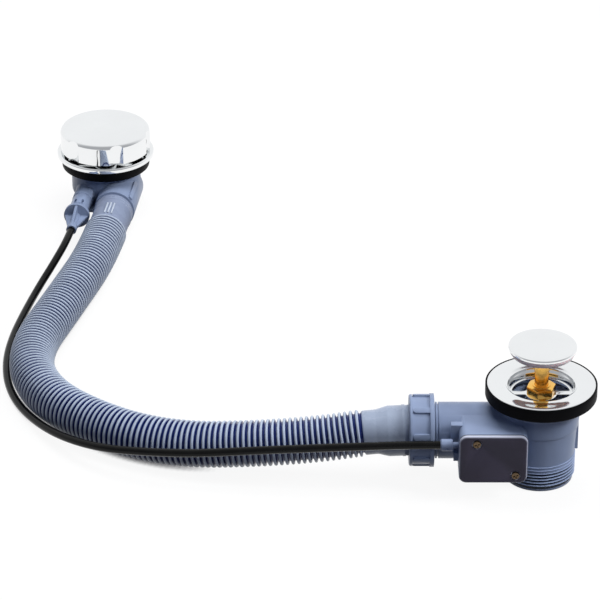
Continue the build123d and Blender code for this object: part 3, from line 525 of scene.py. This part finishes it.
collar_r = 19.6
collar_to = 1.7
collar_slope = 0.3
union_cuff_r = 16.75
ring_r = 17.1
ring_from = 7.0
ring_to = 8.6
ring_slope = 0.5
taper_from = 17.6
taper_to = 25.0
shoulder_len = 0.8
shoulder_drop = 0.15
neck_blend = 1.0
neck_rise = 0.1
neck_to = bellows_from - 1.6
neck_edge = 0.7
neck_edge_drop = 0.2
outline = [
    (0.0, collar_r),
    (collar_to, collar_r),
    (collar_to + collar_slope, union_cuff_r),
    (ring_from - ring_slope, union_cuff_r),
    (ring_from, ring_r),
    (ring_to, ring_r),
    (ring_to + ring_slope, union_cuff_r),
    (taper_from, union_cuff_r),
    (taper_from + shoulder_len, union_cuff_r - shoulder_drop),
    (taper_to, neck_r + neck_rise),
    (taper_to + neck_blend, neck_r),
    (neck_to, neck_r),
    (neck_to + neck_edge, neck_r - neck_edge_drop),
]
fold_shares = [
    (0.0, 0.0),
    (0.20, 0.0),
    (0.28, 0.2),
    (0.34, 0.62),
    (0.42, 0.9),
    (0.54, 1.0),
    (0.68, 1.0),
    (0.80, 0.9),
    (0.88, 0.62),
    (0.94, 0.2),
]
for i in range(folds):
    start = bellows_from + i * fold
    outline += [(start + s * fold, valley_r + h * (crest_r - valley_r)) for s, h in fold_shares]

tip_r = neck_r - 0.6
tip_edge = 1.2
tip_edge_drop = 0.3
tip_rings = 3
tip_ring_pitch = 3.0
tip_ring_top = 1.5
tip_ring_rise = 0.5
tip_round = 0.5
lining_steps = 80
outline += [
    (bellows_to, valley_r),
    (bellows_to + tip_edge / 2, tip_r - tip_edge_drop),
    (bellows_to + tip_edge, tip_r),
]
for i in range(tip_rings):
    start = hose_length - (tip_rings - i) * tip_ring_pitch
    outline += [
        (start - tip_ring_rise, tip_r),
        (start, tip_r + tip_ring_rise),
        (start + tip_ring_top, tip_r + tip_ring_rise),
        (start + tip_ring_top + tip_ring_rise, tip_r),
    ]
outline += [(hose_length - tip_round, tip_r), (hose_length, tip_r - tip_round)]
outline += [(hose_length * (1 - i / lining_steps), bore_r) for i in range(lining_steps + 1)]
hose_points = [(place * mm, radius * mm, 0) for place, radius in outline]
hose = spun("overflow_hose_bellows", hose_points, axis="X", steps=60)

# Painted shade: the cuffs have no folds, and each gets its own darkening level in fold_depth.
union_cuff_painted_shade = 0.18
overflow_cuff_painted_shade = 0.26
depth = hose.data.attributes.new("fold_depth", "FLOAT", "POINT")
for value, vertex in zip(depth.data, hose.data.vertices):
    radius = math.hypot(vertex.co.y, vertex.co.z) / mm
    place = vertex.co.x / mm
    if place < bellows_from:
        value.value = union_cuff_painted_shade
    elif place > bellows_to:
        value.value = overflow_cuff_painted_shade
    else:
        value.value = (crest_r - radius) / (crest_r - valley_r)
bend = hose.modifiers.new("lay along the route", "CURVE")
bend.object = hose_line
bend.deform_axis = "POS_X"
bpy.ops.object.modifier_apply(modifier=bend.name)
bpy.ops.object.shade_smooth_by_angle(angle=rounded_angle)
bpy.data.objects.remove(hose_line)


def bellows_plastic(name, colour, valley, rough):
    """Blow-moulded skin: crests partly lit by a painted highlight, valleys and cuffs darkened as painted
    shade by fold_depth, fine pulled streaks.
    """
    material, tree, shader, place = new_material(name)
    depth_of = tree.nodes.new("ShaderNodeAttribute")
    depth_of.attribute_name = "fold_depth"
    shadowed = tree.nodes.new("ShaderNodeMapRange")
    shadowed.interpolation_type = "SMOOTHSTEP"
    shadowed.inputs["From Min"].default_value = 0.05
    shadowed.inputs["From Max"].default_value = 0.5
    tree.links.new(depth_of.outputs["Fac"], shadowed.inputs["Value"])
    flow = noise(tree, place, scale=60.0, detail=4.0)
    crest = ramp(tree, flow, [(0.3, shade(colour, 0.92)), (0.7, shade(colour, 1.1))])
    tone = tree.nodes.new("ShaderNodeMix")
    tone.data_type = "RGBA"
    tone.inputs["B"].default_value = (*valley, 1.0)
    tree.links.new(shadowed.outputs["Result"], tone.inputs["Factor"])
    tree.links.new(crest, tone.inputs["A"])
    tree.links.new(tone.outputs["Result"], shader.inputs["Base Color"])
    tree.links.new(spread(tree, flow, rough - 0.06, rough + 0.08), shader.inputs["Roughness"])
    shader.inputs["Specular IOR Level"].default_value = 0.3
    streaks = noise(tree, place, scale=900.0)
    tree.links.new(bump(tree, streaks, strength=0.3, height=0.08 * mm), shader.inputs["Normal"])
    return material


# The crest colour is the hose's blue, raised in part as a painted highlight; the valley colour is
# painted shade.
crest_blue_and_highlight = (0.335, 0.39, 0.48)
painted_valley_shade = (0.008, 0.020, 0.12)
hose_plastic = bellows_plastic("blue_grey_bellows", crest_blue_and_highlight, painted_valley_shade, rough=0.26)
hose.data.materials.append(hose_plastic)
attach(hose, body_of["overflow_hose"])
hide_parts("overflow_hose")

# Cuff ribs: three short grips moulded along the top of the cuff that goes on the overflow's spigot.
# Each is a low rounded bar of the hose's own plastic, coloured pale all over as a painted highlight.
rib_size = (1.2 * mm, 16.0 * mm, 1.7 * mm)
rib_back = 22.5 * mm
rib_leans = (-7.0, 3.0, 13.0)
painted_rib_highlight = (0.40, 0.45, 0.53)
cuff_end = Vector(hose_route[-1]) * mm
cuff_run = cuff_end - Vector(hose_route[-2]) * mm
overflow_turn = Matrix.Rotation(-math.atan2(cuff_run.x, cuff_run.y), 4, "Z")


def eased_bar(name, size, place, edge):
    """Bar of a size, put in its place, with rounded edges."""
    bpy.ops.object.select_all(action="DESELECT")
    bpy.ops.mesh.primitive_cube_add(size=1.0, location=(0, 0, 0))
    bar = bpy.context.object
    bar.name = name
    bar.matrix_world = place @ Matrix.Diagonal((*size, 1.0))
    bpy.ops.object.transform_apply(location=True, rotation=True, scale=True)
    bevel = bar.modifiers.new("rounded edges", "BEVEL")
    bevel.width = edge
    bevel.segments = 3
    bpy.ops.object.modifier_apply(modifier=bevel.name)
    bpy.ops.object.shade_smooth_by_angle(angle=math.radians(40))
    return bar


# Painted highlight: the ribs take a paler blue than the hose.
rib_highlight_plastic = moulded_plastic("pale_cuff_plastic", painted_rib_highlight, rough=0.3)
cuff_place = Matrix.Translation(cuff_end) @ overflow_turn
for number, lean in enumerate(rib_leans, 1):
    on_cuff = Matrix.Rotation(math.radians(lean), 4, "Y")
    on_cuff @= Matrix.Translation((0, -rib_back, tip_r * mm))
    grip = eased_bar("cuff_rib_%d" % number, rib_size, cuff_place @ on_cuff, edge=0.4 * mm)
    grip.data.materials.append(rib_highlight_plastic)
    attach(grip, body_of["overflow_hose"])

# Overflow body: bowl, outlet elbow and cable boss moulded in one, behind the bath wall.
# Its gasket tapers, and the chrome faceplate is pulled down on both by two screws.
dressed("overflow_body", "overflow_body_moulding", body_plastic, edge=0.25 * mm)
dressed("overflow_gasket", "overflow_gasket_ring", black_rubber, edge=0.3 * mm)
dressed("overflow_faceplate", "overflow_faceplate_chrome", chrome, edge=0.15 * mm)
dressed("faceplate_screws", "faceplate_screws_steel", steel)

# Boss web: a flat web of the same moulding that ties the cable boss to the outlet spigot.
# It is a plain plate with eased edges, low down in front of the bowl.
web_size = (25.0 * mm, 17.0 * mm, 2.6 * mm)
web_front = 28.0 * mm
web_height = 12.2 * mm
knob_low, knob_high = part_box("overflow_knob")
overflow_axis = (knob_low + knob_high) / 2
overflow_place = Matrix.Translation((overflow_axis.x, overflow_axis.y, web_height)) @ overflow_turn
web_place = overflow_place @ Matrix.Translation((0, -web_front, 0))
web = eased_bar("cable_boss_web", web_size, web_place, edge=0.8 * mm)
web.data.materials.append(body_plastic)
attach(web, body_of["overflow_body"])

# Overflow knob: a deep chrome cup on the spindle's flat, fixed by a grub screw from the side.
# Six shallow finger flutes are cut down its side and their edges are polished round.
knob = dressed("overflow_knob", "overflow_knob_chrome", chrome)
knob_r = (knob_high.x - knob_low.x) / 2
flute_count = 6
flute_r = 12.0 * mm
flute_depth = 1.5 * mm
first_flute = math.radians(-12.4)
cutter_out = knob_r - flute_depth + flute_r
cutter_len = 60.0 * mm
for i in range(flute_count):
    turn = first_flute + i * 2 * math.pi / flute_count
    middle = overflow_axis + cutter_out * Vector((math.cos(turn), math.sin(turn), 0))
    bpy.ops.object.select_all(action="DESELECT")
    bpy.ops.mesh.primitive_cylinder_add(vertices=128, radius=flute_r, depth=cutter_len, location=middle)
    cutter = bpy.context.object
    pick_only(knob)
    flute = knob.modifiers.new("flute", "BOOLEAN")
    flute.operation = "DIFFERENCE"
    flute.object = cutter
    bpy.ops.object.modifier_apply(modifier=flute.name)
    bpy.data.objects.remove(cutter)
bevel = knob.modifiers.new("polished edges", "BEVEL")
bevel.width = 0.7 * mm
bevel.segments = 3
bevel.limit_method = "ANGLE"
bevel.angle_limit = math.radians(15)
bpy.ops.object.modifier_apply(modifier=bevel.name)
bpy.ops.object.shade_smooth_by_angle(angle=sharp_edge)
dressed("knob_grub_screw", "knob_grub_screw_steel", steel)

# Cable ends: a finned gland that locks into the overflow's boss, and a crimped sleeve at the lever box.
# Both are moulded in the body's plastic, and hold the cable's sheath still while its wire slides.
dressed("cable_gland", "cable_gland_finned", body_plastic, edge=0.3 * mm)
dressed("cable_end_sleeve", "cable_end_sleeve_crimped", body_plastic, edge=0.4 * mm)

# Bowden cable: black plastic sheath over a spiral of steel, springy, laid against the hose.
# It comes straight out of the gland, drops to the table, follows the bend and rises to the box.
cable_route = [
    (-325.52, 324.93, 20.0),
    (-328.67, 298.12, 20.0),
    (-337.5, 272.5, 13.5),
    (-348.0, 247.5, 5.6),
    (-356.5, 211.5, 3.2),
    (-362.0, 178.0, 3.0),
    (-364.0, 144.0, 3.0),
    (-359.5, 108.0, 3.0),
    (-346.5, 74.0, 3.5),
    (-323.0, 35.5, 9.0),
    (-292.5, 7.0, 15.5),
    (-257.0, -9.5, 22.0),
    (-224.0, -17.5, 26.0),
    (-191.0, -20.8, 30.0),
    (-158.0, -23.5, 33.2),
    (-119.0, -26.5, 36.6),
    (-88.5, -27.75, 38.6),
    (-62.0, -27.75, 38.6),
]
sheath_r = 2.75 * mm
sheath_black = (0.003, 0.003, 0.003)
cable = route_curve("bowden_cable_sheath", cable_route)
cable.data.bevel_depth = sheath_r
cable.data.bevel_resolution = 6
cable.data.use_fill_caps = True


def sheath_plastic(name, colour, rough):
    """Black extruded sheath, glossy, with the lay of the wire faintly showing."""
    material, tree, shader, place = new_material(name)
    scuff = noise(tree, place, scale=140.0, detail=4.0)
    stops = [(0.4, colour), (0.8, shade(colour, 2.2))]
    tree.links.new(ramp(tree, scuff, stops), shader.inputs["Base Color"])
    tree.links.new(spread(tree, scuff, rough - 0.05, rough + 0.1), shader.inputs["Roughness"])
    shader.inputs["Specular IOR Level"].default_value = 0.15
    lay = noise(tree, place, scale=700.0, detail=2.0)
    tree.links.new(bump(tree, lay, strength=0.2, height=0.06 * mm), shader.inputs["Normal"])
    return material


cable.data.materials.append(sheath_plastic("black_sheath", sheath_black, rough=0.16))
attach(cable, body_of["bowden_cable"])
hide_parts("bowden_cable")

# Floor: a plain white sweep. To the eye and in the chrome it is white paper with a soft shadow, and a
# painted contact shadow where a part touches it. What it throws back on the undersides is weak, as on a
# small table in a large room.
floor_size = 12.0
floor_drop = 0.05 * mm
paper_white = (0.95, 0.95, 0.95)
paper_bounce = (0.10, 0.10, 0.115)
paper_glow = 0.92
contact_reach = 8.0 * mm
painted_contact_shadow = (0.03, 0.03, 0.04)
bpy.ops.object.select_all(action="DESELECT")
bpy.ops.mesh.primitive_plane_add(size=floor_size, location=(0, 0, -floor_drop))
floor = bpy.context.object
floor.name = "floor"


def seen_directly(tree):
    """1 for rays that the eye, a mirror or clear plastic sends out, 0 for scattered light."""
    ray = tree.nodes.new("ShaderNodeLightPath")
    seen = ray.outputs["Is Camera Ray"]
    for kind in ("Is Glossy Ray", "Is Transmission Ray"):
        either = tree.nodes.new("ShaderNodeMath")
        either.operation = "MAXIMUM"
        tree.links.new(seen, either.inputs[0])
        tree.links.new(ray.outputs[kind], either.inputs[1])
        seen = either.outputs["Value"]
    return seen


def white_paper(name):
    """Paper that glows white when seen, with its shadows and a painted contact shadow, and throws little
    light back.
    """
    material = bpy.data.materials.new(name)
    material.use_nodes = True
    tree = material.node_tree
    tree.nodes.remove(tree.nodes["Principled BSDF"])
    seen = seen_directly(tree)
    scatter = tree.nodes.new("ShaderNodeBsdfDiffuse")
    paper = ramp(tree, seen, [(0.0, paper_bounce), (1.0, paper_white)])
    tree.links.new(paper, scatter.inputs["Color"])
    # Painted contact shadow: the glow goes dark where parts close by hem the floor in.
    contact = tree.nodes.new("ShaderNodeAmbientOcclusion")
    contact.inputs["Distance"].default_value = contact_reach
    contact_shade = ramp(tree, contact.outputs["AO"], [(0.1, painted_contact_shadow), (0.42, (1.0, 1.0, 1.0))])
    glow = tree.nodes.new("ShaderNodeEmission")
    tree.links.new(contact_shade, glow.inputs["Color"])
    blend = tree.nodes.new("ShaderNodeMixShader")
    tree.links.new(spread(tree, seen, 0.0, paper_glow), blend.inputs["Fac"])
    tree.links.new(scatter.outputs["BSDF"], blend.inputs[1])
    tree.links.new(glow.outputs["Emission"], blend.inputs[2])
    tree.links.new(blend.outputs["Shader"], tree.nodes["Material Output"].inputs["Surface"])
    return material


floor.data.materials.append(white_paper("white_paper"))

# Studio light: four softboxes, the largest overhead and behind, the others at the right, left and front.
# They don't show in reflections. The chrome mirrors a white room instead, dimmer at the front, whose
# scattered light stays low and slightly cool.
room_back = (0.96, 0.97, 0.98)
room_front = (0.42, 0.43, 0.45)
room_seen = (1.0, 1.0, 1.0)
room_scattered = (0.045, 0.06, 0.11)
room = bpy.data.worlds.new("white_room")
scene.world = room
room.use_nodes = True
room_tree = room.node_tree
sky = room_tree.nodes["Background"]
sky.inputs["Strength"].default_value = 1.0
way = room_tree.nodes.new("ShaderNodeTexCoord")
bearing = room_tree.nodes.new("ShaderNodeSeparateXYZ")
room_tree.links.new(way.outputs["Generated"], bearing.inputs["Vector"])
backward = room_tree.nodes.new("ShaderNodeMapRange")
backward.interpolation_type = "SMOOTHSTEP"
backward.inputs["From Min"].default_value = -0.5
backward.inputs["From Max"].default_value = 0.5
room_tree.links.new(bearing.outputs["Y"], backward.inputs["Value"])
room_colour = ramp(room_tree, backward.outputs["Result"], [(0.0, room_front), (1.0, room_back)])
room_ray = room_tree.nodes.new("ShaderNodeLightPath")
for kind, tone in (("Is Camera Ray", room_seen), ("Is Diffuse Ray", room_scattered)):
    layer = room_tree.nodes.new("ShaderNodeMix")
    layer.data_type = "RGBA"
    layer.inputs["B"].default_value = (*tone, 1.0)
    room_tree.links.new(room_ray.outputs[kind], layer.inputs["Factor"])
    room_tree.links.new(room_colour, layer.inputs["A"])
    room_colour = layer.outputs["Result"]
room_tree.links.new(room_colour, sky.inputs["Color"])
object_middle = (cad_low + cad_high) / 2


def softbox(name, place, size, power):
    """Rectangular lamp turned towards the object, unseen in reflections."""
    lamp = bpy.data.lights.new(name, "AREA")
    lamp.shape = "RECTANGLE"
    lamp.size, lamp.size_y = size
    lamp.energy = power
    box = bpy.data.objects.new(name, lamp)
    box.location = place
    box.rotation_euler = (object_middle - Vector(place)).to_track_quat("-Z", "Y").to_euler()
    box.visible_glossy = False
    scene.collection.objects.link(box)


softbox("overhead_softbox", place=(-0.1, 0.5, 1.6), size=(1.2, 1.0), power=29.0)
softbox("right_softbox", place=(1.25, -0.35, 1.15), size=(0.7, 0.5), power=24.0)
softbox("left_softbox", place=(-1.9, 0.2, 0.8), size=(0.9, 0.7), power=2.5)
softbox("front_softbox", place=(0.5, -1.2, 1.3), size=(0.5, 0.4), power=5.0)

# Camera: stands where the photograph was taken, about two and a half metres off, level from side to side
# and looking along +Y and down. Its lens gives the photograph's frame.
photo_pixels = 600
focal_pixels = 3514.0
look_down = 28.663
camera_data = bpy.data.cameras.new("camera")
camera_data.lens = camera_data.sensor_width * focal_pixels / photo_pixels
camera = bpy.data.objects.new("camera", camera_data)
camera.location = (-0.15807, -1.99240, 1.22031)
camera.rotation_euler = (math.radians(90 - look_down), 0, 0)
scene.collection.objects.link(camera)
scene.camera = camera
scene.view_settings.view_transform = "Standard"
